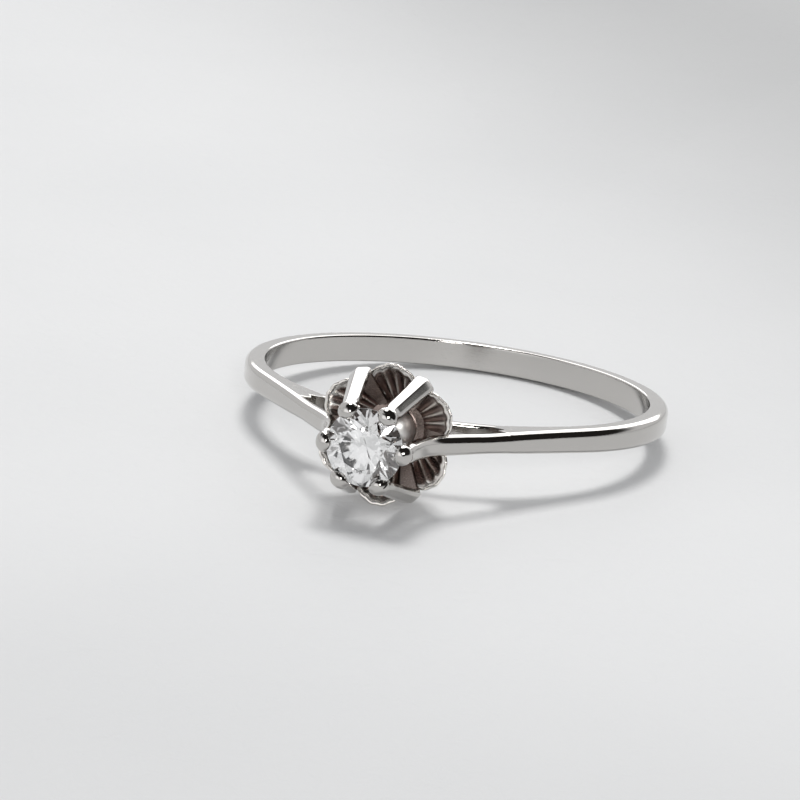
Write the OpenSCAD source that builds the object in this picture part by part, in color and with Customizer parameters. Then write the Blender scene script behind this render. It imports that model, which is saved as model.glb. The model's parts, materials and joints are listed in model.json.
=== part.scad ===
// Engagement ring: a slim split-shoulder shank, a fluted cup on a bridge, six claws and one
// round brilliant stone. The finger hole runs along Z and the head points along -Y.

/* [Shank] */
// Inside radius of the finger hole
finger_r = 8.5; // [8:0.25:9.5]
// Radial thickness of the shank
shank_t = 0.86; // [0.8:0.02:1]
// Width of the shank at the back of the finger
back_w = 1.25; // [1.1:0.05:2]
// Width of the shoulders and of the bridge
front_w = 0.86; // [0.76:0.02:0.88]

/* [Shoulders] */
// Angle from the head at which each shoulder splits into a strip and the bridge
split_a = 28; // [26:1:30]
// Thickness of the strips that rise to the head
strip_t = 0.46; // [0.4:0.02:0.5]
// Thickness of the bridge that passes under the head
bridge_t = 0.42; // [0.36:0.02:0.46]
// Distance of a strip's outer face from the head's axis, level with the cup's rim
strip_reach = 2.97; // [2.9:0.01:3]

/* [Cup] */
// Height of the cup's floor above the finger
floor_rise = 1.2; // [1.1:0.05:1.4]
// Height of the cup's rim above the finger
rim_rise = 2.7; // [2.6:0.05:2.8]
// Inside radius of the cup at its floor
floor_r = 1.2; // [1.1:0.05:1.3]
// Inside radius of the cup at its rim, beside a claw
rim_r = 2.48; // [2.4:0.02:2.5]
// Thickness of the cup's wall
wall_t = 0.25; // [0.2:0.01:0.3]
// How far the middle of each petal swells outwards at the rim
arch_d = 0.3; // [0.2:0.01:0.34]
// How strongly the petals are fluted; the flutes fade towards the rim
flute_d = 0.13; // [0.08:0.01:0.16]
// How much higher the middle of each petal stands at the rim
scallop_h = 0.16; // [0.05:0.01:0.2]
// Number of flutes on each petal
flutes = 4; // [2:1:5]
// Half the angle that a claw takes out of the cup's wall
claw_a = 10; // [10:0.25:11]

/* [Claws] */
// Width of a claw beside its bead
claw_w = 0.72; // [0.6:0.02:0.76]
// Width of a claw at its knee, level with the cup's rim
knee_w = 0.94; // [0.8:0.02:1]
// Thickness of a claw
claw_t = 0.45; // [0.4:0.01:0.5]
// Radius of the bead at a claw's tip
bead_r = 0.36; // [0.32:0.01:0.4]
// Height of the beads above the finger
bead_rise = 5.95; // [5.9:0.01:6]

/* [Stone] */
// Radius of the stone at its girdle
stone_r = 1.6; // [1.5:0.02:1.64]
// Height of the girdle above the finger
girdle_rise = 5.8; // [5.75:0.01:5.85]
// Width of the table as a part of the stone's width
table_part = 0.57; // [0.53:0.01:0.6]
// Slope of the bezel facets
crown_a = 34; // [32:0.5:36]
// Slope of the pavilion facets
pavilion_a = 40.8; // [40:0.1:42]

/* [Hidden] */

outer_r = finger_r + shank_t;
bridge_r = finger_r + bridge_t;
floor_h = finger_r + floor_rise;
rim_h = finger_r + rim_rise;
bead_h = finger_r + bead_rise;
girdle_h = finger_r + girdle_rise;

// The strip's outer face is a straight line from the shank's round to the cup's rim.
reach_r = norm([strip_reach, rim_h]);
leave_a = atan2(strip_reach, rim_h) + acos(outer_r / reach_r);
split_r = outer_r / cos(leave_a - split_a);
split_h = split_r * cos(split_a);

// Centre line of a claw: up the cup's wall, over a soft corner at the rim, in to the bead.
bead_axis_r = stone_r + 0.04;
foot = [floor_r + wall_t / 2, floor_h];
knee = [rim_r + claw_t / 2 + 0.15, rim_h + 0.05];
tip = [bead_axis_r + 0.1, bead_h - bead_r / 2];

// Centre line of a strip from well inside the shank to its bend beside the cup's rim.
mid_r = outer_r - strip_t / 2;
strip_dir = [-cos(leave_a), sin(leave_a)];
strip_from = mid_r * [sin(leave_a), cos(leave_a)];
bend_run = (rim_h + 0.75 - strip_from[1]) / strip_dir[1];
bend = strip_from + bend_run * strip_dir;
strip_tip = [bead_axis_r + 0.08, bead_h - bead_r / 2];

girdle_t = 0.06;
seat_gap = 0.01;
round_fn = 180;
bead_fn = 32;
metal = [0.80, 0.79, 0.77];

// A point part of the way from a to b
function between(a, b, part) = a + part * (b - a);

// A smooth corner from a to c, pulled towards b
function corner(a, b, c, steps) = [
    for (i = [0 : steps])
        let (u = i / steps) between(between(a, b, u), between(b, c, u), u)
];

// The left-hand normal of a path at point i
function path_normal(path, i) =
    let (
        run = path[min(i + 1, len(path) - 1)] - path[max(i - 1, 0)],
        size = norm(run)
    )
    [-run[1], run[0]] / size;

// The outline of a band of even thickness that follows a path
function band(path, t) = concat(
    [for (i = [0 : len(path) - 1]) path[i] + path_normal(path, i) * t / 2],
    [for (i = [len(path) - 1 : -1 : 0]) path[i] - path_normal(path, i) * t / 2]
);

// Places a shape drawn along +Z so that it stands on the finger and points along -Y
module on_head() {
    rotate([90, 0, 0]) children();
}

// A flat bar that follows a path of [radius, height] points, w wide
module bar(path, t, w) {
    rotate([90, 0, 0])
        linear_extrude(w, center = true)
            polygon(band(path, t));
}

// A block that narrows from a claw's knee to its bead
module taper() {
    rotate([90, 0, 90])
        linear_extrude(2 * rim_r)
            polygon([
                [-knee_w / 2, rim_h + 0.04], [knee_w / 2, rim_h + 0.04],
                [claw_w / 2, bead_h], [-claw_w / 2, bead_h]
            ]);
}

// A pie-shaped block between two angles, from height low to height high
module wedge(from_a, to_a, size, low, high) {
    mid_a = (from_a + to_a) / 2;
    points = [[0, 0], for (a = [from_a, mid_a, to_a]) size * [cos(a), sin(a)]];
    translate([0, 0, low])
        linear_extrude(high - low)
            polygon(points);
}

// The double cone that the stone fills, grown by a hair to seat it
module stone_space() {
    r = stone_r + seat_gap;
    crown_h = r * (1 - table_part) * tan(crown_a);
    pavilion_h = r * tan(pavilion_a);
    half_t = girdle_t / 2 + seat_gap;
    translate([0, 0, girdle_h])
        rotate_extrude($fn = round_fn)
            polygon([
                [0, -half_t - pavilion_h], [r, -half_t], [r, half_t],
                [r * table_part, half_t + crown_h], [0, half_t + crown_h]
            ]);
}

// Half the shank's width at a place along the ring: slim in front, full at the back
function half_width(y) =
    let (u = (y + split_h) / (outer_r + split_h))
    (front_w + (back_w - front_w) * pow(max(sin(90 * u), 0), 0.6)) / 2;

// The shank's side view, extruded across the ring
module width_profile() {
    steps = 14;
    ys = [for (i = [0 : steps]) between(-split_h, outer_r + 0.01, pow(i / steps, 1.7))];
    rotate([90, 0, 90])
        linear_extrude(2 * outer_r + 2, center = true)
            polygon(concat(
                [for (y = ys) [y, half_width(y)]],
                [for (i = [steps : -1 : 0]) [ys[i], -half_width(ys[i])]]
            ));
}

// The wedge that fills the shank out to the straight back of a strip
module web(side) {
    leave = outer_r * [side * sin(leave_a), -cos(leave_a)];
    split = split_r * [side * sin(split_a), -cos(split_a)];
    linear_extrude(back_w, center = true)
        polygon([[0, 0], leave, split]);
}

// Everything in front of the two splits
module front_sector() {
    far = 2 * outer_r;
    linear_extrude(2 * back_w, center = true)
        polygon([
            [0, 0],
            far * [sin(split_a), -cos(split_a)],
            far * [0, -1.2],
            far * [-sin(split_a), -cos(split_a)]
        ]);
}

// Hoop around the finger, up to the two splits
module shank() {
    color(metal)
        difference() {
            intersection() {
                union() {
                    cylinder(r = outer_r, h = back_w, center = true, $fn = round_fn);
                    web(1);
                    web(-1);
                }
                width_profile();
            }
            front_sector();
            cylinder(r = finger_r, h = 2 * back_w, center = true, $fn = round_fn);
        }
}

// Thin strip that closes the finger hole under the head
module bridge() {
    color(metal)
        intersection() {
            difference() {
                cylinder(r = bridge_r, h = front_w, center = true, $fn = round_fn);
                cylinder(r = finger_r, h = 2 * front_w, center = true, $fn = round_fn);
            }
            front_sector();
        }
}

// The strip's straight run and its bend into a claw, without the bead
module strip_bar() {
    bend_in = bend - 0.55 * strip_dir;
    bend_out = between(bend, strip_tip, 0.3);
    path = concat([strip_from], corner(bend_in, bend, bend_out, 6), [strip_tip]);
    bar(path, strip_t, front_w);
}

// Outer strip of one shoulder; it rises past the cup's rim and ends as a claw
module shoulder() {
    difference() {
        union() {
            intersection() {
                on_head() strip_bar();
                front_sector();
            }
            on_head()
                translate([bead_axis_r, 0, bead_h])
                    sphere(r = bead_r, $fn = bead_fn);
        }
        on_head() stone_space();
    }
}

module shoulder_right() {
    color(metal) shoulder();
}

module shoulder_left() {
    color(metal) mirror([1, 0, 0]) shoulder();
}

// The part of the cup's wall behind a strip, cut off where the strip passes over it
module rib() {
    difference() {
        intersection() {
            bar([foot, [rim_r + wall_t / 2, rim_h]], wall_t, claw_w);
            wedge(-claw_a, claw_a, 2 * rim_r, floor_h, rim_h);
        }
        strip_bar();
    }
}

// Peg on the bridge, floor plate with a polished dome, and the two ribs behind the strips
module cup_base() {
    plate_t = 0.25;
    plate_r = floor_r + wall_t;
    peg_r = 0.62;
    dome_r = 0.95;
    dome_h = 0.6;
    color(metal)
        difference() {
            on_head() {
                translate([0, 0, finger_r])
                    cylinder(r = peg_r, h = floor_rise, $fn = round_fn);
                translate([0, 0, floor_h - plate_t])
                    cylinder(r = plate_r + 0.1, h = plate_t, $fn = round_fn);
                intersection() {
                    translate([0, 0, floor_h + dome_h - dome_r])
                        sphere(r = dome_r, $fn = round_fn);
                    translate([0, 0, floor_h - plate_t / 2])
                        cylinder(r = plate_r, h = plate_t / 2 + dome_h, $fn = round_fn);
                }
                rib();
                mirror([1, 0, 0]) rib();
            }
            cylinder(r = bridge_r, h = 4 * plate_r, center = true, $fn = round_fn);
        }
}

// How full a flute is at part t of the way across a petal: round bays between sharp ridges
function flute(t) = abs(sin(180 * flutes * t));

// How full the petal itself is at part t of the way across
function arch(t) = sin(180 * t);

// A point of a petal: t across, s up, skin 0 inside and 1 outside
function petal_point(t, s, skin) =
    let (
        a = claw_a + t * (60 - 2 * claw_a),
        fade = 1.25 - s * s,
        swell = (0.1 + 0.9 * s) * (arch_d * arch(t) + fade * flute_d * flute(t)),
        r = between(floor_r, rim_r, s) + swell + skin * wall_t,
        h = floor_h + s * (rim_rise - floor_rise + scallop_h * (0.85 * arch(t) + 0.15 * flute(t)))
    )
    [r * cos(a), r * sin(a), h];

// One fluted petal of the cup, turned to its own sixth
module petal(number) {
    across = 6 * flutes;
    up = 5;
    row = across + 1;
    layer = row * (up + 1);
    points = [
        for (skin = [0, 1])
            for (j = [0 : up])
                for (i = [0 : across])
                    petal_point(i / across, j / up, skin)
    ];
    inside = [
        for (j = [0 : up - 1])
            for (i = [0 : across - 1])
                let (p = j * row + i)
                each [[p, p + 1, p + row], [p + 1, p + row + 1, p + row]]
    ];
    outside = [for (f = inside) [f[0] + layer, f[2] + layer, f[1] + layer]];
    floor_and_rim = [
        for (i = [0 : across - 1])
            let (p = i, q = up * row + i)
            each [
                [p, p + layer, p + 1], [p + 1, p + layer, p + layer + 1],
                [q, q + 1, q + layer], [q + 1, q + layer + 1, q + layer]
            ]
    ];
    sides = [
        for (j = [0 : up - 1])
            let (p = j * row, q = j * row + across)
            each [
                [p, p + row, p + layer], [p + row, p + row + layer, p + layer],
                [q, q + layer, q + row], [q + row, q + layer, q + row + layer]
            ]
    ];
    color(metal)
        on_head()
            rotate([0, 0, 60 * (number - 1)])
                polyhedron(points, concat(inside, outside, floor_and_rim, sides), convexity = 6);
}

// One free claw: a rib of the cup's wall, a bar over the stone's shoulder and a round bead
module claw(turn) {
    knee_in = between(foot, knee, 0.8);
    knee_out = between(knee, tip, 0.15);
    path = concat([foot - (knee - foot) * 0.2], corner(knee_in, knee, knee_out, 6), [tip]);
    color(metal)
        on_head()
            rotate([0, 0, turn])
                difference() {
                    union() {
                        intersection() {
                            bar(path, claw_t, knee_w);
                            union() {
                                wedge(-claw_a, claw_a, 2 * rim_r, floor_h, rim_h + 0.05);
                                taper();
                            }
                        }
                        translate([bead_axis_r, 0, bead_h])
                            sphere(r = bead_r, $fn = bead_fn);
                    }
                    stone_space();
                }
}

// Round brilliant: table, 8 stars, 8 bezels, 16 + 16 girdle halves and 8 pavilion mains
module diamond() {
    // Each ring of points lies on the planes of the bezels or of the pavilion mains.
    table_r = stone_r * table_part;
    crown_h = stone_r * (1 - table_part) * tan(crown_a);
    pavilion_h = stone_r * tan(pavilion_a);
    star_r = between(table_r, stone_r, 0.47);
    star_h = (stone_r - star_r * cos(22.5)) / (stone_r - table_r) * crown_h;
    lower_r = 0.25 * stone_r;
    lower_h = (stone_r - lower_r * cos(22.5)) / stone_r * pavilion_h;
    top = girdle_t / 2;
    points = concat(
        [for (i = [0 : 7]) [table_r * cos(45 * i), table_r * sin(45 * i), top + crown_h]],
        [for (i = [0 : 7]) [star_r * cos(45 * i + 22.5), star_r * sin(45 * i + 22.5), top + star_h]],
        [for (i = [0 : 15]) [stone_r * cos(22.5 * i), stone_r * sin(22.5 * i), top]],
        [for (i = [0 : 15]) [stone_r * cos(22.5 * i), stone_r * sin(22.5 * i), -top]],
        [for (i = [0 : 7]) [lower_r * cos(45 * i + 22.5), lower_r * sin(45 * i + 22.5), -top - lower_h]],
        [[0, 0, -top - pavilion_h]]
    );
    culet = len(points) - 1;
    facets = concat(
        [[for (i = [7 : -1 : 0]) i]],
        [for (i = [0 : 7])
            let (
                next = (i + 1) % 8,
                star = 8 + i,
                back_star = 8 + (i + 7) % 8,
                upper = 16 + 2 * i,
                upper_next = 16 + (2 * i + 2) % 16,
                lower = 32 + 2 * i,
                lower_next = 32 + (2 * i + 2) % 16,
                keel = 48 + i,
                back_keel = 48 + (i + 7) % 8
            )
            each [
                [i, next, star],
                [i, star, upper, back_star],
                [star, upper + 1, upper],
                [star, upper_next, upper + 1],
                [upper, upper + 1, lower + 1, lower],
                [upper + 1, upper_next, lower_next, lower + 1],
                [keel, lower, lower + 1],
                [keel, lower + 1, lower_next],
                [culet, back_keel, lower, keel]
            ]
        ]
    );
    color([0.9, 0.95, 1, 0.6])
        on_head()
            translate([0, 0, girdle_h])
                polyhedron(points, facets, convexity = 2);
}

shank();
bridge();
shoulder_right();
shoulder_left();
cup_base();
petal(1);  // petal_1
petal(2);  // petal_2
petal(3);  // petal_3
petal(4);  // petal_4
petal(5);  // petal_5
petal(6);  // petal_6
claw(60);  // claw_upper_right
claw(120);  // claw_upper_left
claw(240);  // claw_lower_left
claw(300);  // claw_lower_right
diamond();
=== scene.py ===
import json

import bpy
import numpy as np
from mathutils import Matrix, Vector


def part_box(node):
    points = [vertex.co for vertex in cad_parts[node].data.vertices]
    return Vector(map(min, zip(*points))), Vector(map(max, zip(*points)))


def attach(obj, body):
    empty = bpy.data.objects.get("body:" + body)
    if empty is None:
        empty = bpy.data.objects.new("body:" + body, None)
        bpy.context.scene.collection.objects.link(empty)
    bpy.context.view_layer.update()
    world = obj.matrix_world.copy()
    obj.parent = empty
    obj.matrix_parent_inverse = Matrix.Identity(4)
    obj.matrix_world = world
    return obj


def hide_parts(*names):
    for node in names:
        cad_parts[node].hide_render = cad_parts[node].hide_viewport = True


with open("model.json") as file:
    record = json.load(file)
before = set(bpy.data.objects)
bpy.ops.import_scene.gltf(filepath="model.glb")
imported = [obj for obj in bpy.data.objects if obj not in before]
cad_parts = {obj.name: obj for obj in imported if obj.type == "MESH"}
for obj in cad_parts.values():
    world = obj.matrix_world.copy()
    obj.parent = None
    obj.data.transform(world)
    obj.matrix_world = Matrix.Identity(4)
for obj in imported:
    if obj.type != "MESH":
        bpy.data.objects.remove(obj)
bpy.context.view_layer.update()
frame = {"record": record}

# ---------------------------------------------------------------------------------------------
# Shank. The hoop is one cast and polished strip of white gold, slim at the shoulders, fuller at
# the back. Towards the head its outer face leaves the round in a straight line, and the metal
# fills the wedge behind that line up to the point where the slot opens.
# ---------------------------------------------------------------------------------------------

MM = 0.001
finger_r = frame["record"]["mounts"][0]["dims"]["r_mm"] * MM
shank_low, shank_high = (np.array(c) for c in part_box("shank"))
bridge_low, bridge_high = (np.array(c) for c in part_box("bridge"))
outer_r = min(shank_high[0], shank_high[1])
bridge_r = -bridge_low[1]
split_h = -shank_low[1]
back_half = shank_high[2]
front_half = bridge_high[2]
split_a = np.arctan2(bridge_high[0], np.sqrt(bridge_r**2 - bridge_high[0] ** 2))
leave_a = split_a + np.arccos(outer_r * np.cos(split_a) / split_h)
line_dir = np.array([-np.cos(leave_a), np.sin(leave_a)])
line_out = np.array([np.sin(leave_a), np.cos(leave_a)])
strip_t = 0.46 * MM
edge_round = 0.31 * MM
inner_round = 0.09 * MM

gold_colour = (0.56, 0.545, 0.525, 1.0)


def clamp01(x):
    """Each value held between 0 and 1."""
    return np.clip(x, 0.0, 1.0)


def ease(x):
    """0 below 0, 1 above 1, and a smooth S between: x * x * (3 - 2 x)."""
    x = clamp01(x)
    return x * x * (3.0 - 2.0 * x)


def finish_mesh(name, points, faces, sharp_degrees):
    """A mesh object from points and faces, turned so that its volume is positive, smooth except
    where two faces meet at more than sharp_degrees."""
    mesh = bpy.data.meshes.new(name)
    mesh.from_pydata(points, [], faces)
    mesh.validate()
    mesh.calc_loop_triangles()
    corners = np.empty(len(mesh.loop_triangles) * 3, np.int32)
    mesh.loop_triangles.foreach_get("vertices", corners)
    a, b, c = (points[corners.reshape(-1, 3)[:, i]] for i in range(3))
    if np.einsum("ij,ij->", a, np.cross(b, c)) < 0.0:
        mesh.flip_normals()
    mesh.polygons.foreach_set("use_smooth", np.ones(len(mesh.polygons), bool))
    mesh.set_sharp_from_angle(angle=np.radians(sharp_degrees))
    piece = bpy.data.objects.new(name, mesh)
    bpy.context.scene.collection.objects.link(piece)
    return piece


def tube_faces(rows, columns):
    """Quads between neighbouring rows of a grid whose rows are closed loops of points."""
    i, j = np.meshgrid(np.arange(rows - 1), np.arange(columns), indexing="ij")
    next_j = (j + 1) % columns
    quads = np.stack([i * columns + j, i * columns + next_j,
                      (i + 1) * columns + next_j, (i + 1) * columns + j], axis=-1)
    return quads.reshape(-1, 4).tolist()


def mirrored_cap(row, columns):
    """Closes the end of a bar whose loop of points runs up one half and down the other: point j
    faces point -j, so quads between the two halves fill the end."""
    half = columns // 2
    j = np.arange(0, half)
    quads = np.stack([j, j + 1, (columns - j - 1) % columns, (columns - j) % columns], axis=-1)
    return [[row * columns + c for c in dict.fromkeys(quad)] for quad in quads.tolist()]


def bar_faces(points):
    """All faces of a bar whose points are given row by row: its sides and its two ends."""
    rows, columns = points.shape[:2]
    return tube_faces(rows, columns) + mirrored_cap(0, columns) + mirrored_cap(rows - 1, columns)


def bar_points(outer, out_dir, inner, in_dir, half, round_out, round_in, roof=0.0):
    """Points of a bar, one closed loop a row. Each row has an outer point and an inner point in
    the ring's plane with their outward directions, and a half width. The loop runs from the
    middle of the inner face, round a small corner, up the side, round the outer corner and to
    the middle of the outer face, then back down the other half. A roof lifts the middle of the
    outer face to a softened ridge."""
    rows = len(outer)
    half, round_out, round_in, roof = (np.broadcast_to(v, rows)[:, None]
                                       for v in (half, round_out, round_in, roof))
    inner_parts = np.array([0.0, 0.5, 0.9])
    side_parts = np.array([0.02, 0.25, 0.5, 0.75, 0.98])
    outer_parts = np.array([0.94, 0.8, 0.6, 0.4, 0.26, 0.16, 0.08, 0.0])
    turn = np.linspace(0.0, np.pi / 2, 9)
    in_centre = inner[:, None, :] - round_in[..., None] * in_dir[:, None, :]
    out_centre = outer[:, None, :] - round_out[..., None] * out_dir[:, None, :]

    def place(centre, direction, reach, height):
        return np.concatenate([centre + reach[..., None] * direction[:, None, :],
                               height[..., None]], axis=-1)

    inner_flat = place(in_centre, in_dir, round_in * np.ones(len(inner_parts)),
                       (half - round_in) * inner_parts)
    inner_turn = place(in_centre, in_dir, round_in * np.cos(turn),
                       half - round_in + round_in * np.sin(turn))
    side_xy = in_centre + side_parts[None, :, None] * (out_centre - in_centre)
    side = np.concatenate([side_xy, (half * np.ones(len(side_parts)))[..., None]], axis=-1)
    outer_turn = place(out_centre, out_dir, round_out * np.cos(turn[::-1]),
                       half - round_out + round_out * np.sin(turn[::-1]))
    outer_flat = place(out_centre, out_dir, round_out * np.ones(len(outer_parts)),
                       (half - round_out) * outer_parts)
    upper = np.concatenate([inner_flat, inner_turn, side, outer_turn, outer_flat], axis=1)
    from_middle = np.abs(upper[:, :, 2]) / half
    softness = 0.012
    lift = roof * (1.03 - np.sqrt(from_middle**2 + softness) - 0.03 * from_middle**4)
    lift = np.maximum(lift, 0.0)
    outside = np.arange(upper.shape[1]) >= len(inner_parts) + len(turn) + len(side_parts)
    upper[:, :, :2] += (lift * outside)[..., None] * out_dir[:, None, :]
    lower = upper[:, -2:0:-1] * np.array([1.0, 1.0, -1.0])
    return np.concatenate([upper, lower], axis=1)


def to_ring(points):
    """Swaps the second coordinate, counted towards the head, for the ring's own Y."""
    return points * np.array([1.0, -1.0, 1.0])


def shank_half(y):
    """Half the shank's width at a place along the ring: a quick rise from the split, then an
    almost even width, after the sine of the way to the back."""
    part = clamp01((y + split_h) / (outer_r + split_h))
    return front_half + (back_half - front_half) * np.sin(np.pi / 2 * part) ** 0.6


def shank_edges(angle):
    """Outer point, its outward direction and inner point at an angle from the head. Past the
    leaving angle the outer face is round; before it the outer point runs down the tangent."""
    inner = finger_r * np.stack([np.sin(angle), np.cos(angle)], axis=-1)
    round_angle = np.maximum(angle, leave_a)
    out_dir = np.stack([np.sin(round_angle), np.cos(round_angle)], axis=-1)
    run = outer_r * np.tan(np.maximum(leave_a - angle, 0.0))
    outer = outer_r * out_dir + run[:, None] * line_dir
    return outer, out_dir, inner


near = np.linspace(split_a, leave_a, 70)
far = np.linspace(leave_a, np.pi, 170)[1:]
half_turn = np.concatenate([near, far])
outer, out_dir, inner = shank_edges(half_turn)
in_dir = -inner / finger_r
half = shank_half(-outer[:, 1])
shank = bar_points(outer, out_dir, inner, in_dir, half, edge_round, inner_round)

# The slot ends in a soft V: the side's points are drawn towards the head, least in the middle.
slot_depth = 0.62 * MM
slot_fade = np.radians(7.0)
rise = np.hypot(shank[:, :, 0], shank[:, :, 1])
slot_low = bridge_r
slot_high = (outer_r - strip_t) / np.cos(leave_a - half_turn)
across = (rise - slot_low) / (slot_high - slot_low)[:, None]
inside_slot = (across > -0.05) & (across < 1.05)
pull = slot_depth * np.abs(2.0 * clamp01(across[0]) - 1.0) ** 1.4
nearness = ease(1.0 - (half_turn - split_a) / slot_fade)[:, None]
shift = nearness * pull[None, :] * inside_slot[0][None, :]
tangent = np.stack([-np.cos(half_turn), np.sin(half_turn)], axis=-1)
shank[:, :, :2] += shift[..., None] * tangent[:, None, :]

left = shank[-2::-1] * np.array([-1.0, 1.0, 1.0])
shank = np.concatenate([shank, left])
shank_piece = finish_mesh("shank_metal", to_ring(shank.reshape(-1, 3)), bar_faces(shank), 35)
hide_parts("shank")
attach(shank_piece, "root")


def hand_polish_group():
    """Shader group for hand-polished metal: puts out a roughness that varies in soft patches and
    along hair-fine marks, a normal with faint waves and marks, and a mask of the marks."""
    group = bpy.data.node_groups.new("hand_polish", "ShaderNodeTree")
    for name, value in (("Roughness", 0.06), ("Patches", 0.04), ("Marks", 0.3), ("Waves", 0.3)):
        socket = group.interface.new_socket(name, in_out="INPUT", socket_type="NodeSocketFloat")
        socket.default_value = value
    for name, kind in (("Roughness", "Float"), ("Normal", "Vector"), ("Marks", "Float")):
        group.interface.new_socket(name, in_out="OUTPUT", socket_type=f"NodeSocket{kind}")
    nodes, link = group.nodes, group.links.new
    given = nodes.new("NodeGroupInput")
    put_out = nodes.new("NodeGroupOutput")
    place = nodes.new("ShaderNodeTexCoord")
    patches = nodes.new("ShaderNodeTexNoise")
    patches.inputs["Scale"].default_value = 900.0
    patches.inputs["Detail"].default_value = 4.0
    link(place.outputs["Object"], patches.inputs["Vector"])
    stretch = nodes.new("ShaderNodeMapping")
    stretch.inputs["Rotation"].default_value = (0.3, 0.2, 0.5)
    stretch.inputs["Scale"].default_value = (1.0, 1.0, 14.0)
    link(place.outputs["Object"], stretch.inputs["Vector"])
    marks = nodes.new("ShaderNodeTexNoise")
    marks.inputs["Scale"].default_value = 2600.0
    marks.inputs["Detail"].default_value = 6.0
    marks.inputs["Roughness"].default_value = 0.7
    link(stretch.outputs["Vector"], marks.inputs["Vector"])
    mark_mask = nodes.new("ShaderNodeMapRange")
    mark_mask.inputs["From Min"].default_value = 0.56
    mark_mask.inputs["From Max"].default_value = 0.72
    link(marks.outputs["Fac"], mark_mask.inputs["Value"])
    waves = nodes.new("ShaderNodeTexNoise")
    waves.inputs["Scale"].default_value = 420.0
    waves.inputs["Detail"].default_value = 1.0
    link(place.outputs["Object"], waves.inputs["Vector"])

    def maths(operation, first, second):
        node = nodes.new("ShaderNodeMath")
        node.operation = operation
        for socket, value in zip(node.inputs, (first, second)):
            if isinstance(value, (int, float)):
                socket.default_value = value
            else:
                link(value, socket)
        return node.outputs[0]

    patch_part = maths("MULTIPLY", patches.outputs["Fac"], given.outputs["Patches"])
    mark_part = maths("MULTIPLY", mark_mask.outputs[0], maths("MULTIPLY", given.outputs["Marks"], 0.12))
    rough = maths("ADD", given.outputs["Roughness"], maths("ADD", patch_part, mark_part))
    wave_bump = nodes.new("ShaderNodeBump")
    wave_bump.inputs["Distance"].default_value = 0.00004
    link(given.outputs["Waves"], wave_bump.inputs["Strength"])
    link(waves.outputs["Fac"], wave_bump.inputs["Height"])
    mark_bump = nodes.new("ShaderNodeBump")
    mark_bump.invert = True
    mark_bump.inputs["Distance"].default_value = 0.000004
    link(given.outputs["Marks"], mark_bump.inputs["Strength"])
    link(marks.outputs["Fac"], mark_bump.inputs["Height"])
    link(wave_bump.outputs["Normal"], mark_bump.inputs["Normal"])
    link(rough, put_out.inputs["Roughness"])
    link(mark_bump.outputs["Normal"], put_out.inputs["Normal"])
    link(mark_mask.outputs[0], put_out.inputs["Marks"])
    return group


hand_polish = hand_polish_group()


def polished_gold(name, colour, dull_colour, roughness, patches, marks, waves, painted_shade_tint=None):
    """Polished white gold: bare metal whose colour changes a little in its marks. Given a shade
    colour, it also gets painted shade: that dark colour where the piece's mask of painted shade
    says so, and a higher roughness there."""
    material = bpy.data.materials.new(name)
    material.use_nodes = True
    nodes, link = material.node_tree.nodes, material.node_tree.links.new
    surface = nodes["Principled BSDF"]
    surface.inputs["Metallic"].default_value = 1.0
    polish = nodes.new("ShaderNodeGroup")
    polish.node_tree = hand_polish
    polish.inputs["Roughness"].default_value = roughness
    polish.inputs["Patches"].default_value = patches
    polish.inputs["Marks"].default_value = marks
    polish.inputs["Waves"].default_value = waves
    mix = nodes.new("ShaderNodeMix")
    mix.data_type = "RGBA"
    mix.inputs["A"].default_value = colour
    mix.inputs["B"].default_value = dull_colour
    link(polish.outputs["Marks"], mix.inputs["Factor"])
    shown = mix.outputs["Result"]
    # Painted shade: a dark brown mixed into the colour by the piece's mask, with the roughness raised
    # along with it.
    if painted_shade_tint:
        painted_shade_mask = nodes.new("ShaderNodeAttribute")
        painted_shade_mask.attribute_name = "painted_shade"
        darken = nodes.new("ShaderNodeMix")
        darken.data_type = "RGBA"
        darken.inputs["B"].default_value = painted_shade_tint
        link(painted_shade_mask.outputs["Fac"], darken.inputs["Factor"])
        link(shown, darken.inputs["A"])
        shown = darken.outputs["Result"]
        shaded_roughness = 0.24
        dulled = nodes.new("ShaderNodeMapRange")
        dulled.inputs["To Min"].default_value = roughness
        dulled.inputs["To Max"].default_value = shaded_roughness
        link(painted_shade_mask.outputs["Fac"], dulled.inputs["Value"])
        link(dulled.outputs[0], polish.inputs["Roughness"])
    link(shown, surface.inputs["Base Color"])
    link(polish.outputs["Roughness"], surface.inputs["Roughness"])
    link(polish.outputs["Normal"], surface.inputs["Normal"])
    return material


shank_gold = polished_gold("shank_gold", gold_colour, (0.62, 0.59, 0.56, 1.0), 0.05, 0.05, 0.5, 0.35)
shank_piece.data.materials.append(shank_gold)

# ---------------------------------------------------------------------------------------------
# Bridge. A thin strip of the same cast gold that carries the round of the finger hole on under
# the head, so that the ring closes and the cup has something to stand on.
# ---------------------------------------------------------------------------------------------

bridge_round = 0.13 * MM
angle = np.linspace(-split_a, split_a, 61)
out_dir = np.stack([np.sin(angle), np.cos(angle)], axis=-1)
bridge = bar_points(bridge_r * out_dir, out_dir, finger_r * out_dir, -out_dir,
                    front_half, bridge_round, inner_round)
bridge_piece = finish_mesh("bridge_metal", to_ring(bridge.reshape(-1, 3)), bar_faces(bridge), 35)
bridge_piece.data.materials.append(shank_gold)
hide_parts("bridge")
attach(bridge_piece, "root")

# ---------------------------------------------------------------------------------------------
# Shoulder strips. Each is a flat strip of the shank's white gold that leaves it in a straight,
# slightly waisted line, bends up beside the cup's rim and ends as the right or the left claw,
# its tip worked to a ball that is pushed over the stone's edge.
# ---------------------------------------------------------------------------------------------

stone_low, stone_high = (np.array(c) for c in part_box("diamond"))
stone_r = stone_high[0]
table_h = -stone_low[1]
culet_h = -stone_high[1]
claw_top_h = -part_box("claw_upper_right")[0][1]


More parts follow.
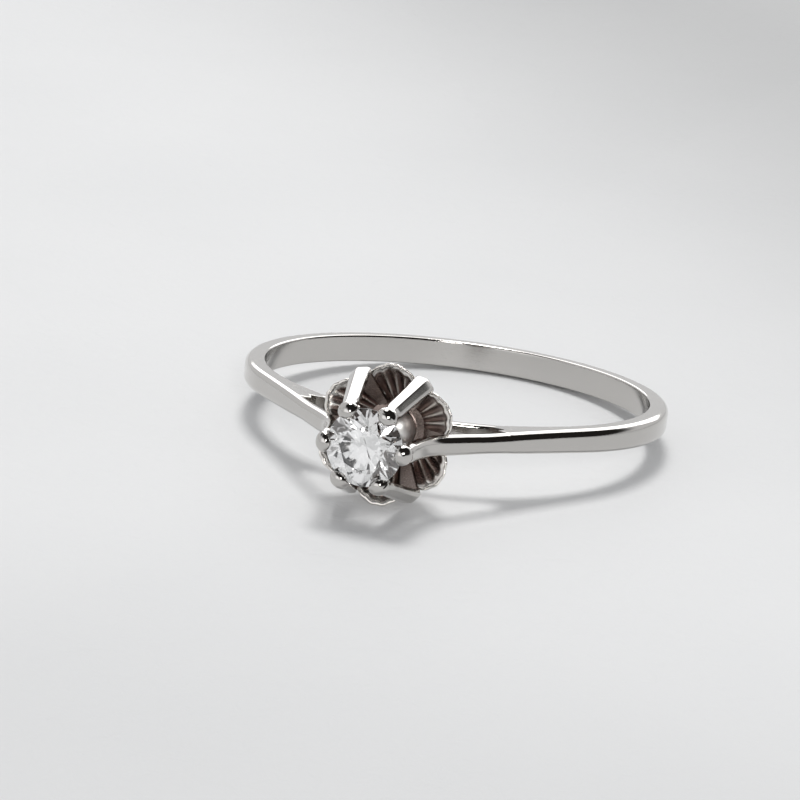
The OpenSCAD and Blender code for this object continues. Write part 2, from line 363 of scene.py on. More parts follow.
def bezier(a, b, c, d, count):
    """A cubic curve from a to d, pulled towards b and c."""
    u = np.linspace(0.0, 1.0, count)[:, None]
    v = 1.0 - u
    return v**3 * a + 3 * v * v * u * b + 3 * v * u * u * c + u**3 * d


def distance_along(path):
    """How far each point of a path is from its first point, along the path."""
    steps = np.linalg.norm(np.diff(path, axis=0), axis=1)
    return np.concatenate([[0.0], np.cumsum(steps)])


def even_path(path, count):
    """The same path with its points at even distances."""
    travelled = distance_along(path)
    wanted = np.linspace(0.0, travelled[-1], count)
    return np.stack([np.interp(wanted, travelled, path[:, k]) for k in (0, 1)], axis=-1)


def path_directions(path):
    """Unit directions along a path, evened out over a few points, and the unit directions to
    its right, away from the axis."""
    along = np.gradient(path, axis=0)
    weights = np.array([1.0, 2.0, 3.0, 4.0, 3.0, 2.0, 1.0]) / 16.0
    padded = np.pad(along, ((3, 3), (0, 0)), mode="edge")
    along = sum(weights[k] * padded[k:k + len(path)] for k in range(7))
    along /= np.linalg.norm(along, axis=1)[:, None]
    return along, np.stack([along[:, 1], -along[:, 0]], axis=-1)


def claw_end(from_tip):
    """The shape of a claw's end by the distance from its tip, as three factors: how much of it
    is ball, how its width swells at the ball and narrows at the neck behind it, and how full it
    still is, a quarter circle down to almost 0 over the last ball radius."""
    ball = 1.0 - ease((from_tip - 1.1 * MM) / (0.4 * MM))
    swell = 0.06 * np.exp(-(((from_tip - 0.6 * MM) / (0.35 * MM)) ** 2))
    neck = 0.10 * np.exp(-(((from_tip - 1.38 * MM) / (0.22 * MM)) ** 2))
    left_over = clamp01(from_tip / ball_r)
    fullness = np.sqrt(np.maximum(1.0 - (1.0 - left_over) ** 2, 1e-4))
    return ball, 1.0 + swell - neck, fullness


def clear_of_stone(inner, outer, gap):
    """Inner points moved towards their outer points until they lie outside the stone's side
    view, a double cone grown by the gap."""
    share = np.linspace(0.0, 1.0, 81)[None, :, None]
    tried = inner[:, None, :] + share * (outer - inner)[:, None, :]
    crown = (tried[..., 1] - girdle_top) / crown_slope
    pavilion = (girdle_bottom - tried[..., 1]) / pavilion_slope
    room = tried[..., 0] - (stone_r + gap) + np.maximum(np.maximum(crown, pavilion), 0.0)
    first = np.argmax(room >= 0.0, axis=1)
    return tried[np.arange(len(inner)), first]


table_share = 0.57
crown_slope = np.tan(np.radians(34.0))
pavilion_slope = np.tan(np.radians(40.8))
girdle_t = 0.06 * MM
crown_h = stone_r * (1 - table_share) * crown_slope
girdle_top = table_h - crown_h
girdle_bottom = girdle_top - girdle_t
ball_r = 0.43 * MM
ball_turn = np.radians(np.linspace(-13.0, 152.0, 44))
ball_line = np.array([1.59 * MM, claw_top_h - ball_r]) + ball_r * np.stack(
    [np.cos(ball_turn), np.sin(ball_turn)], axis=-1)
claw_over = ball_line[0]
bend_h = 11.45 * MM
strip_start = outer_r * line_out + outer_r * np.tan(leave_a - split_a) * line_dir
bend_from = strip_start + line_dir * (bend_h - strip_start[1]) / line_dir[1]
strip_line = even_path(np.concatenate([
    np.stack([strip_start, bend_from]),
    bezier(bend_from, bend_from + 0.55 * MM * line_dir,
           claw_over + np.array([0.10, -1.7]) * MM, claw_over, 44)[1:],
    ball_line[1:],
]), 170)
along, outward = path_directions(strip_line)
outward[0] = line_out
run = distance_along(strip_line)
ball, swell, fullness = claw_end(run[-1] - run)
waist = 1.0 - 0.05 * np.exp(-(((run - 1.2 * MM) / (0.8 * MM)) ** 2))
half = front_half * (1.0 + (waist - 1.0) * ease(run / (0.5 * MM)))
half = (half + (ball_r - half) * ball) * swell * fullness
outer = strip_line - (1.0 - fullness)[:, None] * 0.5 * strip_t * outward
inner = outer - (strip_t * (1.0 + 0.6 * ball) * fullness)[:, None] * outward
inner = clear_of_stone(inner, outer, 0.01 * MM)
thick = np.linalg.norm(outer - inner, axis=1)
round_out = edge_round + (front_half - edge_round) * ball
round_out = np.minimum(np.minimum(round_out, 0.85 * thick), 0.97 * half)
round_in = np.minimum((0.08 + 0.10 * ball) * MM, 0.2 * thick)
shoulder = bar_points(outer, outward, inner, -outward, half, round_out, round_in)
for side, name in ((1.0, "shoulder_right"), (-1.0, "shoulder_left")):
    turned = to_ring(shoulder.reshape(-1, 3)) * np.array([side, 1.0, 1.0])
    piece = finish_mesh(f"{name}_metal", turned, bar_faces(shoulder), 35)
    piece.data.materials.append(shank_gold)
    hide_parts(name)
    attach(piece, "root")

# ---------------------------------------------------------------------------------------------
# Cup base. A turned peg of white gold stands on the bridge, carries the cup's floor plate and
# ends inside the cup as a low dome with a brushed finish, painted paler as a highlight. Two
# short pieces of wall are soldered to the plate and close the cup behind the strips. Peg,
# plate and wall pieces carry a dark brown painted shade.
# ---------------------------------------------------------------------------------------------

floor_h = finger_r + 1.2 * MM
rim_h = finger_r + 2.7 * MM
floor_r = 1.2 * MM
rim_r = 2.48 * MM
wall_t = 0.25 * MM


def lathe_points(profile, sides):
    """A profile of [radius, height] points turned about the head's axis, one loop a point."""
    turn = np.linspace(0.0, 2 * np.pi, sides, endpoint=False)
    r, h = profile[:, 0][:, None], profile[:, 1][:, None]
    return np.stack([r * np.cos(turn), -h * np.ones_like(turn), r * np.sin(turn)], axis=-1)


base_profile = np.array([
    [0.0, bridge_r / MM - 0.05], [0.60, bridge_r / MM - 0.05], [0.58, 9.12], [0.66, 9.24],
    [0.95, 9.36], [1.38, 9.45], [1.50, 9.50], [1.53, 9.58], [1.50, 9.66], [1.42, 9.70],
    [0.95, 9.70], [0.90, 9.715],
]) * MM
dome_r = 0.95 * MM
dome_centre_h = 9.35 * MM
dome_foot_h = floor_h + 0.01 * MM
dome_turn = np.linspace(np.arccos(0.40), 0.0, 14)
dome = np.stack([dome_r * np.sin(dome_turn), dome_centre_h + dome_r * np.cos(dome_turn)], axis=-1)
base_profile = np.concatenate([base_profile, dome])
base_sides = 72
base_points = lathe_points(base_profile, base_sides).reshape(-1, 3)
base_faces = tube_faces(len(base_profile), base_sides)
# Painted shade: dark brown on the peg, the plate and the two wall pieces, none on the dome, and half as
# strong below the cup's floor.
profile_shade = 1.0 - ease((base_profile[:, 1] - dome_foot_h) / (0.06 * MM))
base_shade = np.repeat(profile_shade, base_sides)

claw_a = np.radians(10.0)
rib_rows = 16
rib_round = 0.03 * MM
rib_outer = np.linspace([1.49, 9.70], [2.57, 10.965], rib_rows) * MM
rib_inner = np.linspace([1.20, 9.70], [2.43, 11.14], rib_rows) * MM
rib_out_dir = path_directions(rib_outer)[1]
rib_half = rib_inner[:, 0] * np.tan(claw_a)
rib = bar_points(rib_outer, rib_out_dir, rib_inner, -rib_out_dir, rib_half, rib_round, rib_round)
rib_faces = bar_faces(rib)
rib_points = to_ring(rib.reshape(-1, 3))
for side in (1.0, -1.0):
    first = len(base_points)
    base_points = np.concatenate([base_points, rib_points * np.array([side, 1.0, 1.0])])
    order = 1 if side > 0 else -1
    base_faces += [[first + c for c in face[::order]] for face in rib_faces]
    base_shade = np.concatenate([base_shade, np.full(len(rib_points), 0.9)])


def set_mask(piece, name, values):
    """Writes a value from 0 to 1 for each point, which the piece's material reads by its name."""
    mask = piece.data.attributes.new(name, "FLOAT", "POINT")
    mask.data.foreach_set("value", values.reshape(-1).astype(np.float32))


def add_satin_and_highlight(material):
    """Adds a finely brushed finish to a metal, and a paler colour painted on as a highlight, where the
    piece's mask for both is 1.
    """
    nodes, link = material.node_tree.nodes, material.node_tree.links.new
    surface = nodes["Principled BSDF"]
    satin_and_highlight = nodes.new("ShaderNodeAttribute")
    satin_and_highlight.attribute_name = "satin_and_highlight"
    rough = nodes.new("ShaderNodeMix")
    link(satin_and_highlight.outputs["Fac"], rough.inputs["Factor"])
    link(surface.inputs["Roughness"].links[0].from_socket, rough.inputs["A"])
    rough.inputs["B"].default_value = 0.4
    link(rough.outputs["Result"], surface.inputs["Roughness"])
    # Painted highlight: a paler colour that makes the brushed dome show bright.
    paler = nodes.new("ShaderNodeMix")
    paler.data_type = "RGBA"
    link(satin_and_highlight.outputs["Fac"], paler.inputs["Factor"])
    link(surface.inputs["Base Color"].links[0].from_socket, paler.inputs["A"])
    paler.inputs["B"].default_value = (0.84, 0.825, 0.80, 1.0)
    link(paler.outputs["Result"], surface.inputs["Base Color"])


base_piece = finish_mesh("cup_base_metal", base_points, base_faces, 40)
# Dark brown of the painted shade in the cup and on the claws below the rim.
painted_shade_colour = (0.25, 0.20, 0.18, 1.0)
cup_gold = polished_gold("cup_gold", gold_colour, (0.5, 0.46, 0.43, 1.0), 0.06, 0.06, 0.6, 0.4,
                         painted_shade_colour)
add_satin_and_highlight(cup_gold)
inside_cup = -base_points[:, 1] > floor_h - 0.02 * MM
set_mask(base_piece, "painted_shade", base_shade * np.where(inside_cup, 1.0, 0.5))
set_mask(base_piece, "satin_and_highlight", base_shade < 0.5)
base_piece.data.materials.append(cup_gold)
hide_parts("cup_base")
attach(base_piece, "root")

# ---------------------------------------------------------------------------------------------
# Petals. Six pieces of thin cup wall between the claws, pressed from white gold sheet into four
# flutes that swell outwards under one broad arch and fade towards a rounded, polished rim. The
# bays inside are painted with a brown shade, darker deeper in the cup, that spares the ridges.
# ---------------------------------------------------------------------------------------------

arch_d = 0.30 * MM
flute_d = 0.13 * MM
scallop_h = 0.16 * MM
flute_count = 4


def flute(t):
    """Round bays between softened ridges: part the size of a sine and part its square."""
    wave = np.abs(np.sin(np.pi * flute_count * t))
    return 0.45 * np.sqrt(wave**2 + 0.006) + 0.55 * wave**2 - 0.45 * np.sqrt(0.006)


def petal_points(t, s, skin):
    """A point at t across and s up the petal. skin runs from 0 inside to 1 outside."""
    angle = claw_a + t * (np.pi / 3 - 2 * claw_a)
    bay, arch = flute(t), np.sin(np.pi * t)
    fade = (1.25 - s**2) * (1.0 - 0.3 * skin)
    r = floor_r + s * (rim_r - floor_r) + (0.1 + 0.9 * s) * (arch_d * arch + fade * flute_d * bay)
    r = r + (skin + 0.2 * (1.0 - skin) * ease((s - 0.9) / 0.1)) * wall_t
    h = floor_h + s * (rim_h - floor_h + scallop_h * (0.85 * arch + 0.15 * bay))
    return np.stack([r * np.cos(angle), -h, r * np.sin(angle)], axis=-1)


lip_size = 0.055
up = np.linspace(0.0, 1.0 - lip_size, 22)
lip = np.linspace(0.0, np.pi, 9)[1:-1]
loop_s = np.concatenate([up, 1.0 - lip_size + lip_size * np.sin(lip), up[::-1]])
loop_skin = np.concatenate([np.ones(len(up)), 0.5 + 0.5 * np.cos(lip), np.zeros(len(up))])
across = np.linspace(0.0, 1.0, 20 * flute_count + 1)
petal = petal_points(across[:, None], loop_s[None, :], loop_skin[None, :])
rows, columns = petal.shape[:2]
petal_faces = tube_faces(rows, columns)
petal_faces += [list(range(columns)), list(range((rows - 1) * columns, rows * columns))]
depth = (1.0 - loop_s)[None, :] * np.ones((rows, 1))
ridge = (1.0 - ease(flute(across) / 0.7)) * ease(across / 0.2) * ease((1.0 - across) / 0.2)
ridge = ridge[:, None] * np.ones((1, columns))
inside = ease((0.35 - loop_skin) / 0.3)[None, :] * np.ones((rows, 1))
streaks_across, streaks_up, outside_shift = 40.0, 3.0, 50.0
streak_u, streak_v = np.broadcast_arrays(
    streaks_across * across[:, None], streaks_up * loop_s + outside_shift * (loop_skin > 0.5))
streak_uv = np.stack([streak_u, streak_v], axis=-1).reshape(-1, 2)
# Painted shade: brown on the inside, stronger deeper in the cup, weaker on the ridges, and none at the
# rim.
painted_shade = clamp01(inside * (0.8 + 0.5 * depth) * (1.0 - ridge * (1.0 - 0.5 * depth)))
painted_shade = painted_shade * ease((depth - 0.02) / 0.08)


def fluted_gold():
    """White gold of the petals, painted paler than the other pieces as a highlight, so rim, ridges
    and outside show bright; painted brown shade in the bays; fine drawn-out streaks that run up
    each flute."""
    # Painted highlight: the petals' white gold gets a paler colour than the other pieces, so it shows
    # brighter.
    material = polished_gold("fluted_gold", (0.78, 0.755, 0.72, 1.0), (0.6, 0.56, 0.52, 1.0), 0.08,
                             0.08, 0.6, 0.5, (0.145, 0.096, 0.082, 1.0))
    nodes, link = material.node_tree.nodes, material.node_tree.links.new
    surface = nodes["Principled BSDF"]
    streak_place = nodes.new("ShaderNodeUVMap")
    streaks = nodes.new("ShaderNodeTexNoise")
    streaks.inputs["Scale"].default_value = 0.6
    streaks.inputs["Detail"].default_value = 2.0
    link(streak_place.outputs["UV"], streaks.inputs["Vector"])
    streak_bump = nodes.new("ShaderNodeBump")
    streak_bump.inputs["Strength"].default_value = 0.15
    streak_bump.inputs["Distance"].default_value = 0.00002
    link(streaks.outputs["Fac"], streak_bump.inputs["Height"])
    link(surface.inputs["Normal"].links[0].from_socket, streak_bump.inputs["Normal"])
    link(streak_bump.outputs["Normal"], surface.inputs["Normal"])
    return material


def about_head(points, turn):
    """Points turned about the head's axis by an angle that takes X towards Z."""
    spin = np.array([[np.cos(turn), 0, -np.sin(turn)], [0, 1, 0], [np.sin(turn), 0, np.cos(turn)]])
    return points.reshape(-1, 3) @ spin.T


petal_gold = fluted_gold()
for number in range(6):
    turned = about_head(petal, np.pi / 3 * number)
    piece = finish_mesh(f"petal_{number + 1}_metal", turned, petal_faces, 50)
    set_mask(piece, "painted_shade", painted_shade)
    corner_points = np.empty(len(piece.data.loops), np.int32)
    piece.data.loops.foreach_get("vertex_index", corner_points)
    flow = piece.data.uv_layers.new(name="flow")
    flow.data.foreach_set("uv", streak_uv[corner_points].astype(np.float32).reshape(-1))
    piece.data.materials.append(petal_gold)
    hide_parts(f"petal_{number + 1}")
    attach(piece, "root")

# ---------------------------------------------------------------------------------------------
# Claws. Four free bars of white gold, soldered in as ribs of the cup's wall. Each turns in over
# a soft knee at the rim, has a softly filed ridge down its face, and ends in a ball that is
# pushed over the stone.
# ---------------------------------------------------------------------------------------------

claw_t = 0.45 * MM
claw_half = 0.36 * MM
knee_half = 0.47 * MM
foot = np.array([floor_r + wall_t, floor_h])
knee = np.array([rim_r + claw_t + 0.16 * MM, rim_h + 0.05 * MM])
knee_out = knee + 0.24 * (claw_over - knee)
claw_line = even_path(np.concatenate([
    np.stack([foot, foot + 0.78 * (knee - foot)]),
    bezier(foot + 0.78 * (knee - foot), foot + 1.0 * (knee - foot),
           knee + 0.03 * (claw_over - knee), knee_out, 24)[1:],
    bezier(knee_out, knee_out + 0.5 * (claw_over - knee_out),
           claw_over - 0.18 * (claw_over - knee_out), claw_over, 30)[1:],
    ball_line[1:],
]), 150)
along, outward = path_directions(claw_line)
run = distance_along(claw_line)
ball, swell, fullness = claw_end(run[-1] - run)
neck_h = 14.3 * MM
rise = clamp01((claw_line[:, 1] - rim_h) / (neck_h - rim_h))
free_half = knee_half + (claw_half - knee_half) * rise ** 0.8
wedge_half = 0.995 * claw_line[:, 0] * np.tan(claw_a)
above_rim = ease((claw_line[:, 1] - rim_h + 0.1 * MM) / (0.25 * MM))
half = wedge_half + (free_half - wedge_half) * above_rim
half = (half + (ball_r - half) * ball) * swell * fullness
outer = claw_line - (1.0 - fullness)[:, None] * 0.5 * claw_t * outward
inner = outer - (claw_t * (1.0 + 0.6 * ball) * fullness)[:, None] * outward
inner = clear_of_stone(inner, outer, 0.01 * MM)
thick = np.linalg.norm(outer - inner, axis=1)
ridge_h = 0.17 * MM
corner_r = 0.13 * MM
roof = ridge_h * fullness * (1.0 - ball)
round_out = corner_r + (1.1 * ball_r - corner_r) * ball
round_out = np.minimum(np.minimum(round_out, 0.85 * thick), 0.97 * half)
outer = outer - roof[:, None] * outward
round_in = np.minimum((0.06 + 0.10 * ball) * MM, 0.2 * thick)
claw = bar_points(outer, outward, inner, -outward, half, round_out, round_in, roof)

# Below the rim the claw's sides lie against the petals' ends, so it narrows towards the axis.
to_axis = claw[:, :, 0] / claw_line[:, :1]
claw[:, :, 2] *= 1.0 + (1.0 - above_rim)[:, None] * (to_axis - 1.0)

# Painted shade ends a little below the rim on the claw's face and a little above it on its inside.
depth = np.einsum("ijk,ik->ij", claw[:, :, :2] - outer[:, None, :], -outward) / thick[:, None]
shade_end = (10.75 + 0.75 * ease((depth - 0.25) / 0.4)) * MM
claw_shade = 0.9 * (1.0 - ease((claw[:, :, 1] - shade_end) / (0.35 * MM)))
claw_gold = polished_gold("claw_gold", gold_colour, (0.48, 0.46, 0.43, 1.0), 0.04, 0.05, 0.6, 0.5,
                          painted_shade_colour)
claw_degrees = {
    "claw_upper_right": 60,
    "claw_upper_left": 120,
    "claw_lower_left": 240,
    "claw_lower_right": 300,
}
for name, degrees in claw_degrees.items():
    turned = about_head(to_ring(claw), np.radians(degrees))
    piece = finish_mesh(f"{name}_metal", turned, bar_faces(claw), 28)
    set_mask(piece, "painted_shade", claw_shade)
    piece.data.materials.append(claw_gold)
    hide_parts(name)
    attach(piece, "root")

# ---------------------------------------------------------------------------------------------
# Stone. A round brilliant diamond: table, 8 stars, 8 bezels, 16 upper and 16 lower girdle
# facets, 8 pavilion mains and a thin ground girdle whose edges scallop with the facets. It is
# cut from one crystal and held by the balls of the six claws.
# ---------------------------------------------------------------------------------------------

table_r = table_share * stone_r
pavilion_h = girdle_bottom - culet_h


def stone_half(girdle_level, inner_ring, middle_ring, per_facet):
    """Facets of the crown or the pavilion as point lists. Eight mains run from the inner ring to
    the girdle, and each pair of halves is a plane through its middle point and two girdle
    points, carried on to where it cuts the round of the girdle."""
    facets = []
    for i in range(8):
        angles = np.radians(45.0 * i + np.array([0.0, 22.5, 45.0]))
        ends = np.stack([stone_r * np.cos(angles), stone_r * np.sin(angles),
                         np.full(3, girdle_level)], axis=-1)
        middle = middle_ring[i]
        facets.append([inner_ring[i], middle_ring[i - 1], ends[0], middle])
        for k in (0, 1):
            normal = np.cross(ends[k] - middle, ends[k + 1] - middle)
            sweep = np.linspace(angles[k], angles[k + 1], per_facet)
            x, y = stone_r * np.cos(sweep), stone_r * np.sin(sweep)
            level = middle[2] - (normal[0] * (x - middle[0]) + normal[1] * (y - middle[1])) / normal[2]
            facets.append([middle] + list(np.stack([x, y, level], axis=-1)))
    return facets


def ring_of(radius, level, offset_degrees):
    """Eight points round the axis."""
    angles = np.radians(45.0 * np.arange(8) + offset_degrees)
    return np.stack([radius * np.cos(angles), radius * np.sin(angles), np.full(8, level)], axis=-1)


star_r = table_r + 0.47 * (stone_r - table_r)
star_h = (stone_r - star_r * np.cos(np.radians(22.5))) / (stone_r - table_r) * crown_h
lower_r = 0.25 * stone_r
lower_h = (stone_r - lower_r * np.cos(np.radians(22.5))) / stone_r * pavilion_h
table_ring = ring_of(table_r, table_h, 0.0)
star_ring = ring_of(star_r, girdle_top + star_h, 22.5)
keel_ring = ring_of(lower_r, girdle_bottom - lower_h, 22.5)
culet_ring = ring_of(0.0, culet_h, 0.0)
per_facet = 7
crown_facets = stone_half(girdle_top, table_ring, star_ring, per_facet)
pavilion_facets = stone_half(girdle_bottom, culet_ring, keel_ring, per_facet)
stone_facets = [list(table_ring)] + crown_facets + pavilion_facets
stone_facets += [[table_ring[i], table_ring[(i + 1) % 8], star_ring[i]] for i in range(8)]
upper_edge = [f[1:] for f in crown_facets if len(f) > 4]
lower_edge = [f[1:] for f in pavilion_facets if len(f) > 4]
for top_edge, bottom_edge in zip(upper_edge, lower_edge):
    for k in range(per_facet - 1):
        stone_facets.append([top_edge[k], bottom_edge[k], bottom_edge[k + 1], top_edge[k + 1]])


def welded(facets, axis_level, grain):
    """One list of points and the facets as indices into it: points in the same small cell are
    one point, and each facet is turned to face away from the stone's middle."""
    index, points, faces = {}, [], []
    middle = np.array([0.0, 0.0, axis_level])
    for facet in facets:
        face = []
        for point in facet:
            key = tuple(np.round(np.asarray(point) / grain).astype(int))
            if key not in index:
                index[key] = len(points)
                points.append(np.asarray(point))
            if index[key] not in face:
                face.append(index[key])
        corners = np.array([points[i] for i in face])
        centre = corners.mean(axis=0)
        spin = np.cross(corners - centre, np.roll(corners, -1, axis=0) - centre).sum(axis=0)
        faces.append(face if spin @ (centre - middle) > 0 else face[::-1])
    return np.array(points), faces


stone_points, stone_faces = welded(stone_facets, girdle_top, 0.0005 * MM)
stone_points = np.stack([stone_points[:, 0], -stone_points[:, 2], stone_points[:, 1]], axis=-1)
stone_piece = finish_mesh("diamond_stone", stone_points, stone_faces, 1)
stone_piece.data.polygons.foreach_set("use_smooth", np.zeros(len(stone_piece.data.polygons), bool))


def diamond_material():
    """Cut diamond: clear facets with barely seen tint clouds and polishing lines, and a finely
    ground girdle where the distance from the axis reaches the stone's radius."""
    material = bpy.data.materials.new("cut_diamond")
    material.use_nodes = True
    nodes, link = material.node_tree.nodes, material.node_tree.links.new
    surface = nodes["Principled BSDF"]
    surface.inputs["Metallic"].default_value = 0.0
    surface.inputs["Transmission Weight"].default_value = 1.0
    surface.inputs["IOR"].default_value = 2.417
    place = nodes.new("ShaderNodeTexCoord")
    clouds = nodes.new("ShaderNodeTexNoise")
    clouds.inputs["Scale"].default_value = 1100.0
    clouds.inputs["Detail"].default_value = 3.0
    link(place.outputs["Object"], clouds.inputs["Vector"])
    tint = nodes.new("ShaderNodeMix")
    tint.data_type = "RGBA"
    tint.inputs["A"].default_value = (1.0, 1.0, 1.0, 1.0)
    tint.inputs["B"].default_value = (0.97, 0.975, 0.965, 1.0)
    link(clouds.outputs["Fac"], tint.inputs["Factor"])
    link(tint.outputs["Result"], surface.inputs["Base Color"])
    across_axis = nodes.new("ShaderNodeVectorMath")
    across_axis.operation = "MULTIPLY"
    across_axis.inputs[1].default_value = (1.0, 0.0, 1.0)
    link(place.outputs["Object"], across_axis.inputs[0])
    from_axis = nodes.new("ShaderNodeVectorMath")
    from_axis.operation = "LENGTH"
    link(across_axis.outputs["Vector"], from_axis.inputs[0])
    ground = nodes.new("ShaderNodeMapRange")
    ground.inputs["From Min"].default_value = 0.990 * stone_r
    ground.inputs["From Max"].default_value = 0.996 * stone_r
    link(from_axis.outputs["Value"], ground.inputs["Value"])
    lines = nodes.new("ShaderNodeTexNoise")
    lines.inputs["Scale"].default_value = 5200.0
    lines.inputs["Detail"].default_value = 4.0
    stretch = nodes.new("ShaderNodeMapping")
    stretch.inputs["Rotation"].default_value = (0.4, 0.9, 0.2)
    stretch.inputs["Scale"].default_value = (1.0, 0.08, 1.0)
    link(place.outputs["Object"], stretch.inputs["Vector"])
    link(stretch.outputs["Vector"], lines.inputs["Vector"])
    polish = nodes.new("ShaderNodeMapRange")
    polish.inputs["From Min"].default_value = 0.55
    polish.inputs["From Max"].default_value = 0.80
    polish.inputs["To Max"].default_value = 0.02
    link(lines.outputs["Fac"], polish.inputs["Value"])
    rough = nodes.new("ShaderNodeMix")
    link(ground.outputs[0], rough.inputs["Factor"])
    link(polish.outputs[0], rough.inputs["A"])
    rough.inputs["B"].default_value = 0.3
    link(rough.outputs["Result"], surface.inputs["Roughness"])
    line_bump = nodes.new("ShaderNodeBump")
    line_bump.inputs["Strength"].default_value = 0.03
    line_bump.inputs["Distance"].default_value = 0.000002
    link(lines.outputs["Fac"], line_bump.inputs["Height"])
    link(line_bump.outputs["Normal"], surface.inputs["Normal"])
    return material


stone_piece.data.materials.append(diamond_material())
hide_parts("diamond")
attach(stone_piece, "root")

# ---------------------------------------------------------------------------------------------
# Floor. Thick pale paper. The ring lies on its side, leaning on the lowest petal and on the
# back lower edge of the shank, so the paper slopes a little in the ring's own frame.
# ---------------------------------------------------------------------------------------------

low_petal = np.array(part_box("petal_5")[0])
slope = (-back_half - low_petal[2]) / (outer_r - low_petal[1])
reach = 1.2
corners = np.array([[-reach, -reach], [reach, -reach], [reach, reach], [-reach, reach]])
heights = low_petal[2] + slope * (corners[:, 1] - low_petal[1]) - 0.01 * MM
floor_mesh = bpy.data.meshes.new("paper_floor")
floor_mesh.from_pydata(np.column_stack([corners, heights]).tolist(), [], [[0, 1, 2, 3]])
floor_piece = bpy.data.objects.new("paper_floor", floor_mesh)
bpy.context.scene.collection.objects.link(floor_piece)


def paper_material():
    """Pale uncoated paper: faint cloudy tone, painted shade that darkens it a little far off to the
    back and right and close to the front, and a soft fibrous bump."""
    material = bpy.data.materials.new("pale_paper")
    material.use_nodes = True
    nodes, link = material.node_tree.nodes, material.node_tree.links.new
    surface = nodes["Principled BSDF"]
    surface.inputs["Roughness"].default_value = 0.75
    surface.inputs["Specular IOR Level"].default_value = 0.25
    place = nodes.new("ShaderNodeTexCoord")
    clouds = nodes.new("ShaderNodeTexNoise")
    clouds.inputs["Scale"].default_value = 45.0
    clouds.inputs["Detail"].default_value = 3.0
    link(place.outputs["Object"], clouds.inputs["Vector"])
    tone = nodes.new("ShaderNodeMix")
    tone.data_type = "RGBA"
    tone.inputs["A"].default_value = (0.725, 0.733, 0.743, 1.0)
    tone.inputs["B"].default_value = (0.80, 0.805, 0.812, 1.0)
    link(clouds.outputs["Fac"], tone.inputs["Factor"])
    shown = tone.outputs["Result"]
    # Painted shade: the paper's colour is dimmed towards the back and right and towards the front, as a
    # light's fall-off would.
    to_back_right = ((0.75, 0.66, 0.0), 0.004, 0.062, 0.66)
    to_front = ((0.0, -1.0, 0.0), 0.014, 0.040, 0.91)
    for way, start, end, shade in (to_back_right, to_front):
        along_way = nodes.new("ShaderNodeVectorMath")
        along_way.operation = "DOT_PRODUCT"
        along_way.inputs[1].default_value = way
        link(place.outputs["Object"], along_way.inputs[0])
        share = nodes.new("ShaderNodeMapRange")
        share.interpolation_type = "SMOOTHSTEP"
        share.inputs["From Min"].default_value = start
        share.inputs["From Max"].default_value = end
        share.inputs["To Min"].default_value = 1.0
        share.inputs["To Max"].default_value = shade
        link(along_way.outputs["Value"], share.inputs["Value"])
        dimmed = nodes.new("ShaderNodeVectorMath")
        dimmed.operation = "SCALE"
        link(shown, dimmed.inputs["Vector"])
        link(share.outputs[0], dimmed.inputs["Scale"])
        shown = dimmed.outputs["Vector"]
    link(shown, surface.inputs["Base Color"])
    fibres = nodes.new("ShaderNodeTexNoise")
    fibres.inputs["Scale"].default_value = 1000.0
    fibres.inputs["Detail"].default_value = 5.0
    fibres.inputs["Distortion"].default_value = 0.8
    link(place.outputs["Object"], fibres.inputs["Vector"])
    bump = nodes.new("ShaderNodeBump")
    bump.inputs["Strength"].default_value = 0.6
    bump.inputs["Distance"].default_value = 0.0001
    link(fibres.outputs["Fac"], bump.inputs["Height"])
    link(bump.outputs["Normal"], surface.inputs["Normal"])
    return material


floor_mesh.materials.append(paper_material())

# ---------------------------------------------------------------------------------------------
# Light. A large soft window behind the ring, a small lamp overhead that casts its shadow, and a
# weak one in front that reaches into the cup. The walls are pale low down, and a dim ceiling
# over the front and the right gives the polished metal its dark lines.
# ---------------------------------------------------------------------------------------------


def window(name, place, aim, width, height, power, colour):
    """A rectangular soft light at a place, turned to face the aim."""
    light = bpy.data.lights.new(name, "AREA")
    light.shape = "RECTANGLE"
    light.size, light.size_y = width, height
    light.energy = power
    light.color = colour
    lamp = bpy.data.objects.new(name, light)
    bpy.context.scene.collection.objects.link(lamp)
    towards = (Vector(aim) - Vector(place)).normalized()
    turn = towards.to_track_quat("-Z", "Y").to_matrix().to_4x4()
    lamp.matrix_world = Matrix.Translation(place) @ turn
    return lamp


back_window = window("back_window", (-0.06, 0.41, 0.37), (0, 0, 0), 0.62, 0.50, 2.1,
                     (1.0, 0.995, 0.985))
back_window.visible_diffuse = False
window("top_lamp", (-0.05, 0.04, 0.50), (0, 0, 0), 0.16, 0.16, 1.30, (1.0, 0.99, 0.975))
window("front_fill", (0.14, -0.38, 0.12), (0, -0.012, 0), 0.07, 0.07, 0.40, (1.0, 0.99, 0.98))


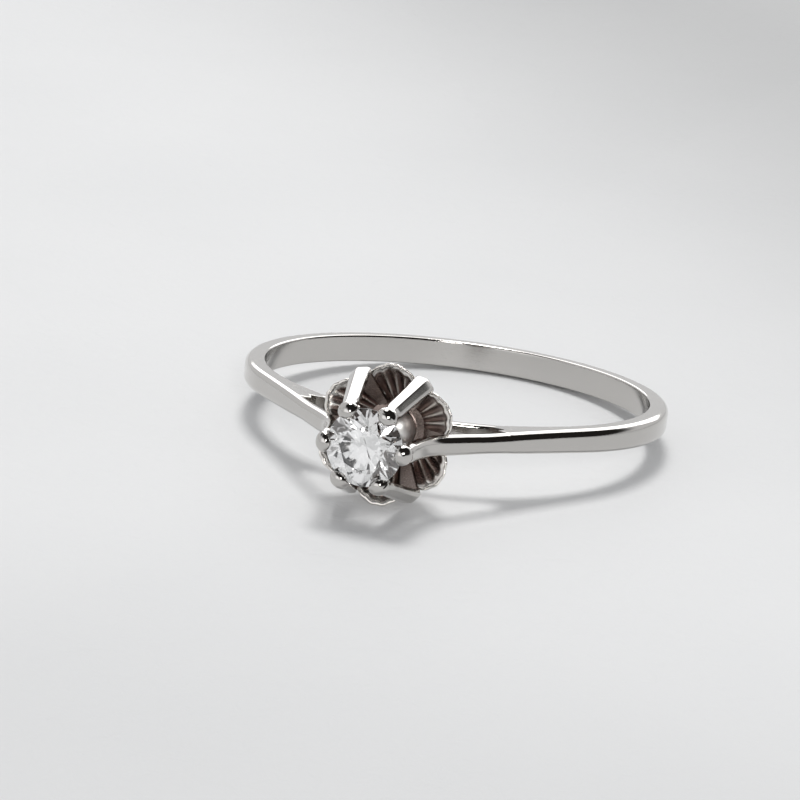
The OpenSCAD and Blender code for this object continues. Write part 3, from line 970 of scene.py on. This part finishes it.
def room_world():
    """Pale room, an even grey where it is seen straight on or gives soft light. In reflections
    it has a paler card in front, and a dim ceiling reaches over from the front and the right.
    Through the stone it is paler, with one dim ceiling. Each of these fades in by the
    direction's part along its own middle."""
    world = bpy.data.worlds.new("room")
    bpy.context.scene.world = world
    world.use_nodes = True
    nodes, link = world.node_tree.nodes, world.node_tree.links.new
    nodes.clear()
    place = nodes.new("ShaderNodeTexCoord")
    seen = nodes.new("ShaderNodeLightPath")

    def near_way(way, start, end):
        turned = nodes.new("ShaderNodeVectorMath")
        turned.operation = "DOT_PRODUCT"
        turned.inputs[1].default_value = Vector(way).normalized()
        link(place.outputs["Generated"], turned.inputs[0])
        part = nodes.new("ShaderNodeMapRange")
        part.interpolation_type = "SMOOTHSTEP"
        part.inputs["From Min"].default_value = start
        part.inputs["From Max"].default_value = end
        link(turned.outputs["Value"], part.inputs["Value"])
        return part.outputs[0]

    def choose(share, first, second):
        mix = nodes.new("ShaderNodeMix")
        mix.data_type = "RGBA"
        link(share, mix.inputs["Factor"])
        for name, colour in (("A", first), ("B", second)):
            if isinstance(colour, tuple):
                mix.inputs[name].default_value = (*colour, 1.0)
            else:
                link(colour, mix.inputs[name])
        return mix.outputs["Result"]

    right_ceiling = near_way((0.60, -0.35, 0.72), 0.40, 0.60)
    front_ceiling = near_way((-0.20, -0.45, 0.87), 0.80, 0.92)
    front_card = near_way((-0.20, -0.95, 0.20), 0.80, 0.95)
    room = choose(front_card, (0.74, 0.74, 0.745), (1.35, 1.35, 1.36))
    room = choose(right_ceiling, room, (0.02, 0.018, 0.017))
    room = choose(front_ceiling, room, (0.02, 0.018, 0.017))
    stone_ceiling = near_way((0.45, -0.35, 0.80), 0.66, 0.86)
    stone_room = choose(stone_ceiling, (0.96, 0.96, 0.97), (0.08, 0.07, 0.066))
    shown = choose(seen.outputs["Is Transmission Ray"], room, stone_room)
    shown = choose(seen.outputs["Is Diffuse Ray"], shown, (0.42, 0.424, 0.43))
    shown = choose(seen.outputs["Is Camera Ray"], shown, (0.66, 0.67, 0.68))
    background = nodes.new("ShaderNodeBackground")
    link(shown, background.inputs["Color"])
    output = nodes.new("ShaderNodeOutputWorld")
    link(background.outputs["Background"], output.inputs["Surface"])


room_world()

# ---------------------------------------------------------------------------------------------
# Camera. A long lens from a little above and to the right of the stone, with the ring's lean.
# ---------------------------------------------------------------------------------------------

azimuth, elevation, roll = np.radians([14.42, 11.53, 7.1])
distance = 150.0 * MM
level_back = np.array([np.sin(azimuth), -np.cos(azimuth), 0.0])
back = level_back * np.cos(elevation) + np.array([0.0, 0.0, np.sin(elevation)])
level_right = np.array([np.cos(azimuth), np.sin(azimuth), 0.0])
level_up = np.cross(back, level_right)
cam_right = level_right * np.cos(roll) + level_up * np.sin(roll)
cam_up = level_up * np.cos(roll) - level_right * np.sin(roll)
ring_right, ring_up = 2.46 * MM, 0.40 * MM
eye = back * distance - ring_right * cam_right - ring_up * cam_up
camera_data = bpy.data.cameras.new("camera")
camera_data.lens = 153.4
camera_data.sensor_width = 36.0
camera_data.clip_start = 0.005
camera = bpy.data.objects.new("camera", camera_data)
stance = np.eye(4)
stance[:3] = np.column_stack([cam_right, cam_up, back, eye])
camera.matrix_world = Matrix(stance.tolist())
bpy.context.scene.collection.objects.link(camera)
bpy.context.scene.camera = camera
bpy.context.scene.view_settings.view_transform = "Standard"

bpy.context.view_layer.update()
